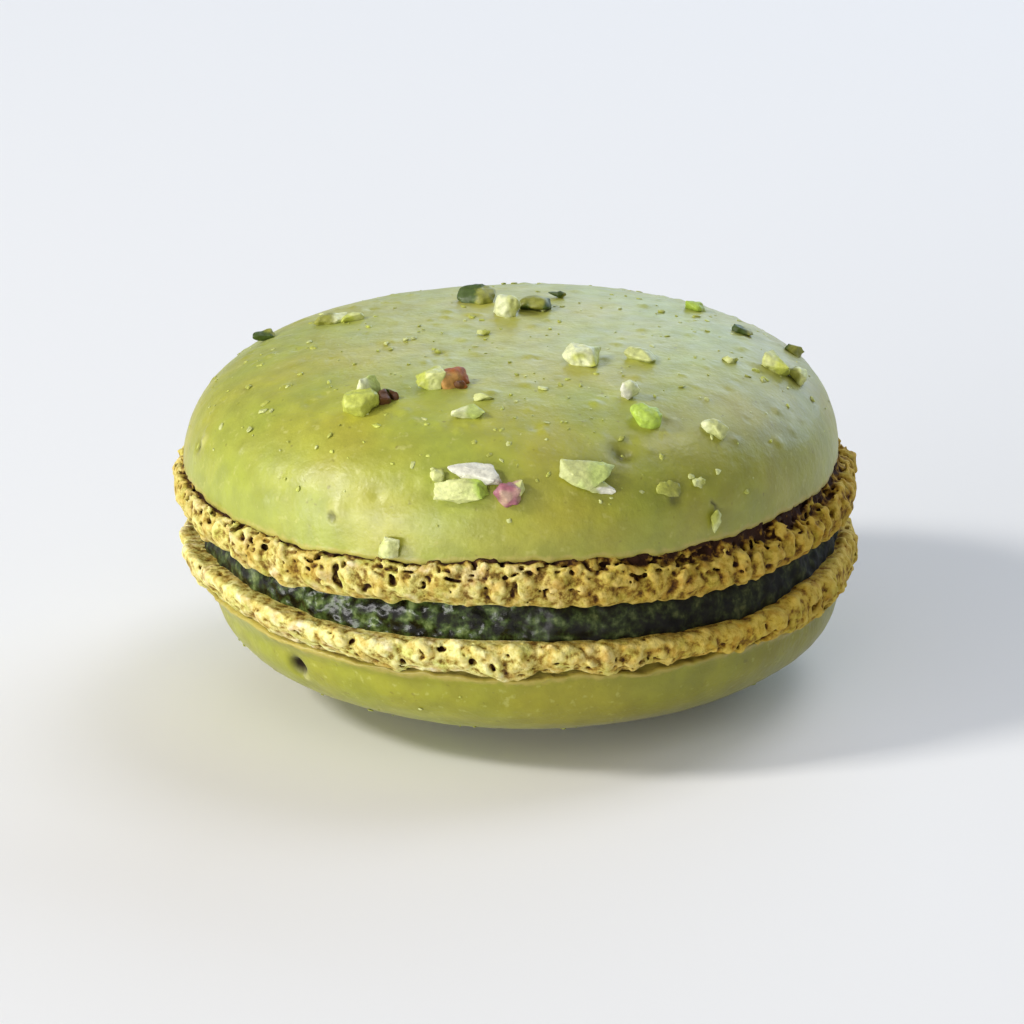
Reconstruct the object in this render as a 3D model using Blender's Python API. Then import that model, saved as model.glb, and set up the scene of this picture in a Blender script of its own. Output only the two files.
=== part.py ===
"""French macaron: two domed almond shells with ruffled feet, closed on a layer of cream.

The macaron rests on a small flat spot under its lower dome.  The origin lies in that
spot, under the middle of the cream.  +Z is up and -Y is the front.  Sizes are in
millimetres, and heights and centres of a shell are taken from the middle plane and
from the cream's axis.
"""

import math
import random
from dataclasses import dataclass

import bmesh
import bpy

MM = 0.001

# Heights above the resting plane
MID_HEIGHT = 11.15  # the plane halfway between the two shells
REST_GAP = 0.3  # clearance kept between pieces that rest on each other

# The layer of cream, a disc that runs right through
CREAM_RADIUS = 21.3
CREAM_TOP = 0.9  # above the middle plane
CREAM_BOTTOM = -1.4
CREAM_BULGE = 0.3  # how far its side swells out at half height
CREAM_SEGMENTS = 90
CREAM_SIDE_ROWS = 4

# The ruffled feet
LOBES = 60  # round a foot
LOBE_STEPS = 3  # segments across one lobe: its valley and two points of its crest
LOBE_WIDTHS = (0.7, 1.3)  # narrowest and widest lobe, as shares of an even one
CREST_SPREAD = 0.35  # how unevenly the crests stand out, as a share of the valleys' depth
FACE_INSET = 0.6  # from the foot's open edge to the flat inner face
FOOT_END = 0.86  # where the outermost rows of a foot's roll lie, 1 being its very edge

DOME_ROWS = 9
FOOT_ROWS = 6
SMOOTH_ANGLE = math.radians(50)

# Linear colours
TOP_COLOUR = (0.37, 0.40, 0.075)
BOTTOM_COLOUR = (0.34, 0.34, 0.07)
CREAM_COLOUR = (0.030, 0.033, 0.010)
SHELL_ROUGHNESS = 0.55
CREAM_ROUGHNESS = 0.3


@dataclass
class Shell:
    """One baked shell, described dome up whichever way it points in the macaron."""

    name: str
    up: int  # +1 when the dome points up, -1 when it points down
    face_height: float  # of the flat inner face
    dome_radius: float  # at the rim, where the skin meets the foot
    rim_height: float  # of that rim
    dome_height: float  # of the full crown above the rim
    flat_cut: float  # how much of the crown is pressed flat
    plan_power: float  # how square the shoulder is, across
    rise_power: float  # how square the shoulder is, upwards
    crown_centre: float  # along X
    rim_centre: float  # of the dome's rim, along X
    foot_centre: float  # of the foot's open edge, along X
    foot_radius: float  # at the widest point of the foot
    foot_inner: float  # radius where the foot's roll starts and ends
    foot_lean: float  # how far the foot's dome side stands out over its open side
    lip_height: float  # of the foot's open edge
    ruffle_depth: float  # of the valleys between the lobes
    oval: float  # how much longer than round the plan is, one way
    oval_angle: float
    seed: int


TOP = Shell(
    name="shell_top",
    up=1,
    face_height=CREAM_TOP + REST_GAP,
    dome_radius=22.1,
    rim_height=4.0,
    dome_height=8.9,
    flat_cut=0.0,
    plan_power=3.3,
    rise_power=2.9,
    crown_centre=0.0,
    rim_centre=-0.3,
    foot_centre=0.15,
    foot_radius=23.15,
    foot_inner=21.7,
    foot_lean=0.2,
    lip_height=1.05,
    ruffle_depth=0.45,
    oval=0.25,
    oval_angle=0.58,
    seed=11,
)

BOTTOM = Shell(
    name="shell_bottom",
    up=-1,
    face_height=-CREAM_BOTTOM + REST_GAP,
    dome_radius=21.4,
    rim_height=4.5,
    dome_height=6.95,
    flat_cut=0.3,
    plan_power=2.25,
    rise_power=2.2,
    crown_centre=1.4,
    rim_centre=0.7,
    foot_centre=0.2,
    foot_radius=23.0,
    foot_inner=21.2,
    foot_lean=-0.35,
    lip_height=1.4,
    ruffle_depth=0.45,
    oval=0.15,
    oval_angle=1.2,
    seed=23,
)


def lobe_edges(rng):
    """Angles of the valleys between a foot's lobes, unevenly spaced round the shell."""
    widths = [rng.uniform(*LOBE_WIDTHS) for _ in range(LOBES)]
    total = sum(widths)
    edges = [0.0]
    for width in widths:
        edges.append(edges[-1] + width / total * 2 * math.pi)
    return edges


def plan_scale(shell, angle):
    """The slightly oval plan, as a factor on the radius."""
    return 1 + shell.oval / shell.dome_radius * math.cos(2 * (angle - shell.oval_angle))


def rim_wave(shell, angle):
    """Height of the wavy rim where the dome's skin parted from the foot."""
    return 0.10 * math.sin(3 * angle + shell.seed) + 0.06 * math.sin(7 * angle + 2 * shell.seed)


def dome_point(shell, angle, turn):
    """A point of the dome: turn runs from 0 at the rim to a quarter circle at the crown."""
    across = math.cos(turn) ** (2 / shell.plan_power)
    rise = math.sin(turn) ** (2 / shell.rise_power)
    radius = shell.dome_radius * across * plan_scale(shell, angle)
    lift = shell.dome_height * rise + rim_wave(shell, angle) * (1 - rise)
    lift = min(lift, shell.dome_height - shell.flat_cut)
    centre = shell.rim_centre + (shell.crown_centre - shell.rim_centre) * rise
    x = radius * math.cos(angle) + centre
    return x, radius * math.sin(angle), shell.rim_height + lift


def foot_point(shell, angle, turn, depth):
    """A point of the foot's roll: turn runs from +1 by the dome to -1 by the inner face."""
    up = math.sin(turn * math.pi / 2)
    out = math.cos(turn * math.pi / 2)
    swell = (shell.foot_radius - shell.foot_inner) * math.sqrt(out)
    radius = (shell.foot_inner + swell + shell.foot_lean * up) * plan_scale(shell, angle)
    radius -= depth * out
    middle = (shell.rim_height + shell.lip_height) / 2
    half = (shell.rim_height - shell.lip_height) / 2
    centre = shell.foot_centre + (shell.rim_centre - shell.foot_centre) * (turn + 1) / 2
    return radius * math.cos(angle) + centre, radius * math.sin(angle), middle + half * up


def add_ring(mesh, shell, points):
    """A ring of vertices at its place in the macaron, upside down if the dome points down."""
    ring = []
    for x, y, z in points:
        ring.append(mesh.verts.new((x * MM, y * MM, (MID_HEIGHT + shell.up * z) * MM)))
    return ring


def bridge(mesh, upper, lower):
    """Join two rings; the finer one has a whole number of steps to each of the other's."""
    coarse = min(len(upper), len(lower))
    step_up = len(upper) // coarse
    step_low = len(lower) // coarse
    for index in range(coarse):
        tops = [upper[(index * step_up + k) % len(upper)] for k in range(step_up + 1)]
        lows = [lower[(index * step_low + k) % len(lower)] for k in range(step_low + 1)]
        if step_up == step_low:
            mesh.faces.new((tops[0], lows[0], lows[1], tops[1]))
            continue
        fine, single = (lows, tops) if step_low > step_up else (tops, lows)
        half = len(fine) // 2
        for k in range(len(fine) - 1):
            apex = single[0] if k < half else single[1]
            mesh.faces.new((fine[k], fine[k + 1], apex))
        mesh.faces.new((single[0], fine[half], single[1]))


def close_with_fan(mesh, ring, height, centre):
    """Close a ring with a flat fan round one middle vertex."""
    middle = mesh.verts.new((centre * MM, 0.0, height * MM))
    for index, vertex in enumerate(ring):
        mesh.faces.new((vertex, ring[(index + 1) % len(ring)], middle))


def finish_object(name, mesh, material):
    """Turn a bmesh into a shaded object with outward faces and its own material."""
    bmesh.ops.recalc_face_normals(mesh, faces=mesh.faces)
    data = bpy.data.meshes.new(name)
    mesh.to_mesh(data)
    mesh.free()
    data.shade_smooth()
    data.set_sharp_from_angle(angle=SMOOTH_ANGLE)
    data.materials.append(material)
    piece = bpy.data.objects.new(name, data)
    bpy.context.scene.collection.objects.link(piece)
    return piece


def make_material(name, colour, roughness):
    material = bpy.data.materials.new(name)
    material.use_nodes = True
    surface = material.node_tree.nodes["Principled BSDF"]
    surface.inputs["Base Color"].default_value = (*colour, 1.0)
    surface.inputs["Roughness"].default_value = roughness
    surface.inputs["Metallic"].default_value = 0.0
    return material


def build_shell(shell, material):
    """A shell as one body: dome, ruffled foot and flat inner face."""
    rng = random.Random(shell.seed)
    edges = lobe_edges(rng)
    spread = CREST_SPREAD * shell.ruffle_depth
    crests = [rng.uniform(-spread, spread) for _ in range(LOBES)]
    mesh = bmesh.new()

    crown_height = shell.rim_height + shell.dome_height - shell.flat_cut
    rings = []
    for row in range(DOME_ROWS, 0, -1):
        turn = (row - 0.5) / DOME_ROWS * math.pi / 2
        points = [dome_point(shell, edges[k], turn) for k in range(LOBES)]
        rings.append(add_ring(mesh, shell, points))
    points = [dome_point(shell, edges[k], 0.0) for k in range(LOBES)]
    rings.append(add_ring(mesh, shell, points))

    for row in range(FOOT_ROWS):
        turn = FOOT_END * (1 - 2 * row / (FOOT_ROWS - 1))
        points = []
        for k in range(LOBES):
            for step in range(LOBE_STEPS):
                angle = edges[k] + (edges[k + 1] - edges[k]) * step / LOBE_STEPS
                depth = shell.ruffle_depth if step == 0 else crests[k]
                points.append(foot_point(shell, angle, turn, depth))
        rings.append(add_ring(mesh, shell, points))

    face_radius = shell.foot_inner - FACE_INSET
    points = []
    for k in range(LOBES):
        x = face_radius * math.cos(edges[k])
        y = face_radius * math.sin(edges[k])
        points.append((x, y, shell.face_height))
    rings.append(add_ring(mesh, shell, points))

    for upper, lower in zip(rings, rings[1:]):
        bridge(mesh, upper, lower)
    close_with_fan(mesh, rings[0], MID_HEIGHT + shell.up * crown_height, shell.crown_centre)
    close_with_fan(mesh, rings[-1], MID_HEIGHT + shell.up * shell.face_height, 0.0)
    return finish_object(shell.name, mesh, material)


def cream_wave(angle):
    """How far the cream's side stands out beyond its even swell."""
    return 0.12 * math.sin(5 * angle + 1.0) + 0.08 * math.sin(11 * angle + 4.0)


def build_cream(material):
    """The layer of cream: a disc with a slightly swollen, uneven side."""
    mesh = bmesh.new()
    rings = []
    for row in range(CREAM_SIDE_ROWS + 1):
        share = row / CREAM_SIDE_ROWS
        z = MID_HEIGHT + CREAM_TOP + (CREAM_BOTTOM - CREAM_TOP) * share
        ring = []
        for k in range(CREAM_SEGMENTS):
            angle = 2 * math.pi * k / CREAM_SEGMENTS
            swell = (CREAM_BULGE + cream_wave(angle)) * math.sin(share * math.pi)
            radius = CREAM_RADIUS - CREAM_BULGE + swell
            x = radius * math.cos(angle)
            y = radius * math.sin(angle)
            ring.append(mesh.verts.new((x * MM, y * MM, z * MM)))
        rings.append(ring)
    for upper, lower in zip(rings, rings[1:]):
        bridge(mesh, upper, lower)
    close_with_fan(mesh, rings[0], MID_HEIGHT + CREAM_TOP, 0.0)
    close_with_fan(mesh, rings[-1], MID_HEIGHT + CREAM_BOTTOM, 0.0)
    return finish_object("filling", mesh, material)


def main():
    for old in list(bpy.data.objects):
        bpy.data.objects.remove(old)
    build_shell(TOP, make_material("pistachio_shell_top", TOP_COLOUR, SHELL_ROUGHNESS))
    build_cream(make_material("dark_pistachio_cream", CREAM_COLOUR, CREAM_ROUGHNESS))
    build_shell(BOTTOM, make_material("pistachio_shell_bottom", BOTTOM_COLOUR, SHELL_ROUGHNESS))


main()
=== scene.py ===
"""Looks of a French macaron: two pistachio shells on a dark, glossy cream.

The upper shell is strewn with chopped pistachios.  Sizes are in millimetres until a mesh
is made.  Heights are taken from the middle plane between the shells, towards the shell's
own dome, and centres along X from the frame's upright axis.  +Z is up and -Y is the front.
"""

import itertools
import math
import random
from dataclasses import dataclass

import bmesh
import bpy
import numpy as np
from mathutils import Matrix, Vector


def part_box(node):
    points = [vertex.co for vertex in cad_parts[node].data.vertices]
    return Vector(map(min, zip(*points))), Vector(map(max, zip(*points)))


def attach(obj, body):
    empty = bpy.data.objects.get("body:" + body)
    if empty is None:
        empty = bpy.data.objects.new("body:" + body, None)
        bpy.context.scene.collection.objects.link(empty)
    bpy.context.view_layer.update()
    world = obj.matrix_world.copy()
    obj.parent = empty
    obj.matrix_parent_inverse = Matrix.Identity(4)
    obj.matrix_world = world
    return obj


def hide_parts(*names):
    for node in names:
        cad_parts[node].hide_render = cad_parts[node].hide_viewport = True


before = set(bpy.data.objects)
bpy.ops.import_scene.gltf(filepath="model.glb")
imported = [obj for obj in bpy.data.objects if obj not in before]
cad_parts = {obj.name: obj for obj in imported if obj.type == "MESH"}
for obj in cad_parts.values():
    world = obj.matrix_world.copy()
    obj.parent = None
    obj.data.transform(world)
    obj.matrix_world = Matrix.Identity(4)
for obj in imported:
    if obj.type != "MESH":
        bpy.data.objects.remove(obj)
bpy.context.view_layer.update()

MM = 0.001
FULL = 2 * math.pi
STOP_BLEND = 3  # degrees over which values given round a shell are evened out

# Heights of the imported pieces.  The cream's top lies 0.9 mm above the middle plane.
MID_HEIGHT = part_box("filling")[1].z / MM - 0.9
TOP_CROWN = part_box("shell_top")[1].z / MM - MID_HEIGHT
BOTTOM_CROWN = MID_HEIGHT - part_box("shell_bottom")[0].z / MM

# The cream
CREAM_HIDDEN = 0.4  # how far it reaches in behind each lip
CREAM_RADIUS = 21.0
CREAM_CENTRE = 0.15
# Wetness round the cream, which also carries painted shade: where it is low, to the right and
# front right, the cream is rougher and its colour darker.
CREAM_WET_AND_LIT = ((0, 0.1), (60, 0.7), (120, 0.9), (180, 0.5), (210, 0.6), (225, 1.0),
                 (265, 1.0), (285, 0.45), (300, 0.15))
CREAM_COLUMNS = 1100
CREAM_ROWS = 30

# Grids of the domes' skin and of the feet
SKIN_COLUMNS = 640
SKIN_STEP = 0.21  # between rows of the skin
SKIN_HALVINGS = 5  # of its columns, from the rim to the crown
SKIN_SPREAD = 24  # radius above which its columns would be doubled
PROFILE_STEPS = 4000
SKIN_FADE = 0.6  # width of the band where the skin turns to crumb
FOOT_COLUMNS = 1040
CELL = 0.12  # of the feet's grid
FOOT_CORE = 21.2  # radius where a foot ends inside its shell
FOOT_REACH = 24.2
FOOT_MIDDLE = 22.6  # radius at which widths round a foot are measured
CORE_LAYERS = 4  # of the feet's grid, kept plain next to the inner wall
LUMPS = 520  # small ones, round each foot
CRACKS = 120  # under the skin's edge, for a crumbly foot
BUBBLES = 260


@dataclass
class Mark:
    """A soft bump or dent in a dome's skin, seen from the front or, with y, from above."""

    x: float
    height: float = None  # above the resting plane for the top shell, else above the middle
    y: float = None
    wide: float = 0.3
    rise: float = 0.0
    # How dark a dent is painted: painted shade inside dents and the hole.
    dent_shade: float = 0.0
    # How pale a bump is painted: a pale spot with a painted highlight.
    light: float = 0.0


@dataclass
class Shell:
    """One baked shell, described dome up whichever way it points."""

    name: str
    up: int
    face_height: float
    dome_radius: float
    rim_height: float  # where the dome's round profile starts
    edges: tuple  # height at which the skin ends, as (azimuth, height) pairs
    lips: tuple  # height at which the foot starts, next to the cream
    skirts: tuple  # how far the skin flares out between the profile's start and its edge
    crown: float  # height of the finished crown
    flat_cut: float
    plan_power: float
    rise_power: float
    crown_centre: float
    rim_centre: float
    foot_centre: float
    foot_radius: float
    leans: tuple  # how far the foot's face leans out towards the skin
    oval: float
    oval_angle: float
    lobes: int
    lobe_widths: tuple
    valley: float  # depth of the valleys between the lobes
    rounding: float  # of the foot's corners
    crumbly: float  # 0 for smooth full lobes, 1 for a torn and porous foot
    hollows: tuple  # azimuth, height, width, height of the hole and depth of each
    gaps: tuple  # height of the open crevice between the skin and the foot
    grooves: tuple  # depth of the groove between the skin and the foot's ridge
    toast_and_shade_stops: tuple  # how brown the foot is baked, with painted shade added on the side away from the key light
    marks: tuple
    pimples: int  # and pinholes, scattered over the skin
    crumbs: int
    seed: int

    def full_height(self):
        """Height of the dome's profile, before its crown is cut flat."""
        return self.crown + self.flat_cut - self.rim_height

    def centre_at(self, rise):
        """The dome's middle along X at this share of its height."""
        return self.rim_centre + (self.crown_centre - self.rim_centre) * rise


TOP = Shell(
    name="top",
    up=1,
    face_height=1.2,
    dome_radius=22.1,
    rim_height=3.75,
    edges=((0, 4.5), (30, 4.2), (60, 4.4), (90, 4.2), (120, 4.4), (150, 4.3), (180, 4.6),
           (210, 4.4), (240, 4.0), (270, 4.4), (300, 4.0), (330, 4.3)),
    lips=((0, 1.0), (30, 0.8), (60, 1.1), (90, 0.9), (120, 1.2), (150, 1.0), (180, 1.2),
          (210, 1.6), (225, 1.1), (240, 1.0), (255, 1.4), (270, 1.2), (285, 0.9), (300, 0.6),
          (330, 0.8)),
    skirts=(),
    crown=TOP_CROWN,
    flat_cut=0.0,
    plan_power=3.3,
    rise_power=2.9,
    crown_centre=0.0,
    rim_centre=-0.3,
    foot_centre=0.27,
    foot_radius=23.15,
    leans=((0, 0.2),),
    oval=0.25,
    oval_angle=0.58,
    lobes=78,
    lobe_widths=(0.7, 1.6),
    valley=0.55,
    rounding=0.5,
    crumbly=0.8,
    hollows=(
        (205, 4.0, 0.4, 0.3, 0.8), (220, 3.2, 0.3, 0.3, 0.7), (225, 3.2, 0.6, 0.5, 0.9),
        (230, 2.8, 0.4, 0.4, 0.5), (235, 3.5, 1.3, 0.3, 0.8), (240, 2.6, 1.0, 1.5, 0.6),
        (250, 3.2, 0.6, 0.8, 0.8), (255, 3.0, 0.5, 0.3, 0.7), (260, 3.2, 1.2, 0.4, 0.9),
        (270, 2.4, 0.5, 1.3, 0.6), (275, 3.8, 1.3, 0.4, 0.9), (275, 2.4, 0.7, 0.4, 0.7),
        (280, 2.4, 0.4, 0.4, 0.6), (285, 3.6, 1.5, 0.4, 0.9), (290, 3.0, 1.1, 0.4, 0.8),
        (295, 3.6, 1.2, 0.4, 1.0), (300, 3.2, 1.7, 0.5, 1.0), (305, 3.6, 0.9, 0.5, 1.0),
        (315, 2.8, 0.6, 0.5, 0.8), (320, 3.8, 2.0, 0.5, 1.1), (325, 2.2, 0.5, 0.4, 0.6),
    ),
    gaps=((0, 0.5), (30, 0.3), (60, 0.2), (90, 0.4), (130, 0.2), (170, 0.3), (190, 0.2),
          (205, 0.0), (270, 0.0), (280, 0.15), (290, 0.4), (310, 0.8), (330, 0.9), (345, 0.7)),
    grooves=((0, 1.3), (20, 1.3), (40, 0.5), (70, 0.0), (90, 0.4), (120, 0.0), (170, 0.2),
             (210, 0.0), (270, 0.0), (300, 0.8), (310, 1.2), (345, 1.3)),
    toast_and_shade_stops=((20, 0.9), (60, 0.4), (120, 0.3), (180, 0.4), (200, 0.3), (225, 0.1), (265, 0.15),
            (275, 0.6), (290, 0.85), (310, 0.9), (330, 1.0)),
    marks=(
        Mark(-11.5, 18.0, wide=0.8, rise=0.3, light=0.6),
        Mark(-11.8, 17.6, wide=0.4, rise=-0.4, dent_shade=0.6),
        Mark(7.0, y=-17.5, wide=1.2, rise=-0.35, dent_shade=0.2),
        Mark(7.2, y=-17.6, wide=0.7, rise=-0.3, dent_shade=0.4),
        Mark(-21.0, 18.4, wide=0.7, rise=-0.2, dent_shade=0.25),
        Mark(-20.5, 19.0, wide=0.5, rise=0.2, light=0.6),
        Mark(13.0, 17.8, wide=0.16, rise=-0.14, dent_shade=0.8),
        Mark(13.2, 17.5, wide=0.16, rise=-0.14, dent_shade=0.7),
        Mark(13.4, 17.2, wide=0.14, rise=-0.12, dent_shade=0.6),
        Mark(10.5, 18.5, wide=0.5, rise=-0.14, dent_shade=0.45),
    ),
    pimples=260,
    crumbs=420,
    seed=11,
)

BOTTOM = Shell(
    name="bottom",
    up=-1,
    face_height=1.7,
    dome_radius=21.4,
    rim_height=4.5,
    edges=((0, 3.9), (30, 4.1), (60, 3.8), (90, 4.0), (120, 3.8), (150, 3.9), (180, 3.5),
           (210, 3.1), (225, 3.3), (240, 3.7), (270, 4.0), (280, 3.7), (295, 4.1), (310, 3.7),
           (325, 4.2)),
    lips=((0, 0.9), (30, 1.2), (60, 1.0), (90, 1.3), (120, 1.1), (150, 0.9), (180, 0.4),
          (210, 0.2), (225, 0.7), (240, 1.1), (270, 1.1), (285, 1.3), (300, 1.5), (315, 1.7),
          (330, 1.2)),
    skirts=((0, 0.4), (90, 0.4), (170, 0.8), (190, 0.9), (225, 0.9), (245, 0.4), (320, 0.3)),
    crown=BOTTOM_CROWN,
    flat_cut=0.3,
    plan_power=2.25,
    rise_power=2.2,
    crown_centre=1.4,
    rim_centre=0.7,
    foot_centre=0.2,
    foot_radius=23.0,
    leans=((0, -0.4), (165, -0.5), (180, -0.9), (235, -0.9), (255, -0.4)),
    oval=0.15,
    oval_angle=1.2,
    lobes=54,
    lobe_widths=(0.6, 1.8),
    valley=0.4,
    rounding=0.8,
    crumbly=0.4,
    hollows=(
        (240, 3.0, 1.0, 0.7, 0.6), (250, 2.6, 0.5, 0.5, 0.7), (250, 3.6, 1.2, 0.5, 0.9),
        (260, 3.6, 1.6, 0.5, 0.9), (265, 2.2, 0.5, 1.6, 0.6), (275, 3.6, 1.8, 0.7, 1.3),
        (280, 2.8, 0.9, 0.8, 0.6), (285, 2.4, 0.5, 0.4, 0.7), (290, 2.6, 0.9, 0.9, 0.5),
        (290, 3.6, 1.8, 0.6, 1.2), (300, 3.7, 1.8, 0.5, 1.1), (305, 3.2, 1.2, 0.5, 0.6),
        (315, 2.2, 0.5, 0.4, 0.6), (315, 3.2, 1.3, 0.5, 0.7), (330, 2.6, 1.2, 0.6, 0.6),
    ),
    gaps=((0, 0.0), (60, -0.15), (120, 0.0), (175, -0.2), (235, -0.2), (240, 0.4), (245, -0.1),
          (250, 0.5), (255, -0.1), (260, 0.6), (265, -0.1), (270, -0.1), (275, 1.0), (280, -0.1),
          (285, -0.1), (290, 0.9), (295, -0.1), (300, 0.7), (305, -0.1), (340, -0.1)),
    grooves=((0, 0.0),),
    toast_and_shade_stops=((20, 0.9), (60, 0.4), (120, 0.2), (180, 0.1), (260, 0.1), (275, 0.5), (290, 0.8),
            (310, 1.0)),
    marks=(
        Mark(-14.5, -5.4, wide=0.8, rise=-1.1, dent_shade=1.0),
        Mark(-14.0, -6.0, wide=0.4, rise=0.2, light=1.0),
    ),
    pimples=160,
    crumbs=150,
    seed=23,
)


# Noise

LATTICE_SIZE = 64
LATTICE = np.random.default_rng(5).uniform(-1, 1, (LATTICE_SIZE,) * 3).astype(np.float32)
# A turn that keeps the lattice's planes off the object's axes
LATTICE_TURN = np.array(Matrix.Rotation(0.7, 3, Vector((1, 2, 3))), dtype=np.float32)


def cell_corners(part):
    """The corners of a grid's cell, and their weights for places inside it."""
    for corner in itertools.product((0, 1), repeat=3):
        yield np.array(corner), np.prod(np.where(corner, part, 1 - part), axis=1)


def noise(points, size, seed):
    """Smooth random values from -1 to 1, whose bumps are about size across."""
    cell = points @ LATTICE_TURN / size + np.float32(seed * 7.31)
    low = np.floor(cell).astype(np.int32)
    part = cell - low
    part = part * part * (3 - 2 * part)
    value = np.zeros(len(points), dtype=np.float32)
    for corner, weight in cell_corners(part):
        at = (low + corner) % LATTICE_SIZE
        value += weight * LATTICE[at[:, 0], at[:, 1], at[:, 2]]
    return value


def smooth_min(first, second, soft):
    """The lower of two fields, rounded where they meet."""
    share = np.clip(0.5 + 0.5 * (second - first) / soft, 0, 1)
    return second * (1 - share) + first * share - soft * share * (1 - share)


def smooth_step(value, low, high):
    share = np.clip((value - low) / (high - low), 0, 1)
    return share * share * (3 - 2 * share)


# Meshes

def round_axis(radius, angle, height, centre=0.0):
    """Points at these radii and angles about an upright axis through (centre, 0)."""
    return np.stack([radius * np.cos(angle) + centre, radius * np.sin(angle), height], axis=-1)


def to_world(points, up):
    """From millimetres about the middle plane to metres in the frame."""
    world = np.array(points, dtype=np.float64)
    world[:, 2] = MID_HEIGHT + up * world[:, 2]
    return world * MM


def add_object(name, data):
    """An object in the scene that shows a mesh, a light or a camera."""
    shown = bpy.data.objects.new(name, data)
    bpy.context.scene.collection.objects.link(shown)
    return shown


def make_piece(name, points, faces, material, values, up=1):
    """A smooth mesh object; values are attributes that its material reads."""
    if up < 0:
        faces = [face[::-1] for face in faces]
    mesh = bpy.data.meshes.new(name)
    mesh.from_pydata(to_world(points, up).tolist(), [], faces)
    for key, value in values.items():
        if np.ndim(value) == 1:
            attribute = mesh.attributes.new(key, "FLOAT", "POINT")
            attribute.data.foreach_set("value", np.asarray(value, dtype=np.float32))
        else:
            attribute = mesh.attributes.new(key, "FLOAT_COLOR", "POINT")
            rgba = np.ones((len(value), 4), dtype=np.float32)
            rgba[:, :3] = value
            attribute.data.foreach_set("color", rgba.ravel())
    mesh.shade_smooth()
    mesh.materials.append(material)
    mesh.validate()
    return add_object(name, mesh)


def bridge_rings(upper, lower):
    """Faces between two rings of vertex numbers; one may be twice as fine as the other."""
    if len(upper) == len(lower):
        return list(zip(upper, lower, lower[1:] + lower[:1], upper[1:] + upper[:1]))
    coarse, fine = sorted((upper, lower), key=len)
    faces = []
    for k in range(len(coarse)):
        a, b = coarse[k], coarse[(k + 1) % len(coarse)]
        p, q, r = fine[2 * k], fine[2 * k + 1], fine[(2 * k + 2) % len(fine)]
        faces += [(a, p, q), (a, q, b), (b, q, r)]
    return faces if coarse is upper else [face[::-1] for face in faces]


def join_rings(rings):
    """Faces of a closed body through these rings, with a flat face at each end."""
    faces = []
    for upper, lower in zip(rings, rings[1:]):
        faces += bridge_rings(upper, lower)
    return faces + [tuple(rings[0]), tuple(rings[-1][::-1])]


# Domes

def plan_scale(shell, angle):
    """The slightly oval plan, as a factor on the radius."""
    return 1 + shell.oval / shell.dome_radius * np.cos(2 * (angle - shell.oval_angle))


def around(stops, angle):
    """A value given at some azimuths, in degrees, read off smoothly at any angle."""
    azimuths, values = zip(*stops)
    degrees = np.degrees(angle)
    shifts = (-STOP_BLEND, 0, STOP_BLEND)
    return sum(np.interp(degrees + shift, azimuths, values, period=360) for shift in shifts) / 3


def skin_edge(shell, angle):
    """Height of the skin's wavy lower edge, where it parts from the foot."""
    return around(shell.edges, angle) + 0.05 * np.sin(17 * angle + shell.seed)


def foot_top(shell, angle):
    """Height at which the foot's roll ends, below the skin's edge where a crevice opens."""
    wander = 1 + 0.3 * (np.sin(31 * angle) + np.sin(53 * angle + 2))
    return skin_edge(shell, angle) - around(shell.gaps, angle) * wander


def dome_points(shell, angle, turn):
    """Points of the dome: turn runs from 0 at the rim to a quarter circle at the crown."""
    across = np.abs(np.cos(turn)) ** (2 / shell.plan_power)
    rise = np.sin(turn) ** (2 / shell.rise_power)
    full_height = shell.full_height()
    radius = shell.dome_radius * across * plan_scale(shell, angle)
    lift = np.minimum(full_height * rise, full_height - shell.flat_cut)
    return round_axis(radius, angle, shell.rim_height + lift, shell.centre_at(rise))


def dome_normals(shell, angle, turn):
    nudge = 0.002
    turn = np.clip(turn, nudge, math.pi / 2 - 2 * nudge)
    along = dome_points(shell, angle + nudge, turn) - dome_points(shell, angle - nudge, turn)
    rising = dome_points(shell, angle, turn + nudge) - dome_points(shell, angle, turn - nudge)
    normal = np.cross(along, rising)
    return normal / np.linalg.norm(normal, axis=-1, keepdims=True)


def turn_at_height(shell, height):
    """Turn of the dome's profile at this height."""
    rise = np.clip((height - shell.rim_height) / shell.full_height(), 0, 1)
    return np.arcsin(rise ** (shell.rise_power / 2))


def even_turns(shell):
    """For each row of the skin, a function from angle to turn, evenly spaced down it."""
    fine = np.linspace(math.pi / 2, 0, PROFILE_STEPS)
    profile = dome_points(shell, np.zeros_like(fine), fine)
    steps = np.linalg.norm(np.diff(profile, axis=0), axis=1)
    length = np.concatenate([[0], np.cumsum(steps)])
    rows = int(length[-1] / SKIN_STEP)

    def turns_of(row):
        def turns(angle):
            last = np.interp(-turn_at_height(shell, skin_edge(shell, angle)), -fine, length)
            return np.interp(row / rows * last, length, fine)
        return turns

    return [turns_of(row) for row in range(1, rows + 1)]


def skin_marks(shell):
    """Pimples and pinholes scattered over a dome, and the larger marks given with it."""
    rng = random.Random(shell.seed + 1)
    marks = []
    for _ in range(shell.pimples):
        angle = rng.uniform(0, FULL)
        turn = math.acos(rng.uniform(0, 1) ** 0.8)
        wide = rng.uniform(0.22, 0.6)
        rise = rng.choice((-0.35, 0.3, 0.4)) * wide * rng.uniform(0.3, 0.8)
        marks.append((dome_points(shell, angle, turn), wide, rise, 0.0, 0.0))
    for mark in shell.marks:
        height = mark.height
        if height is not None:
            height = height - MID_HEIGHT if shell.up > 0 else -height
        angle, turn = place_on_dome(shell, mark.x, mark.y, height)
        centre = dome_points(shell, angle, turn)
        marks.append((centre, mark.wide, mark.rise, mark.dent_shade, mark.light))
    return marks


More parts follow.
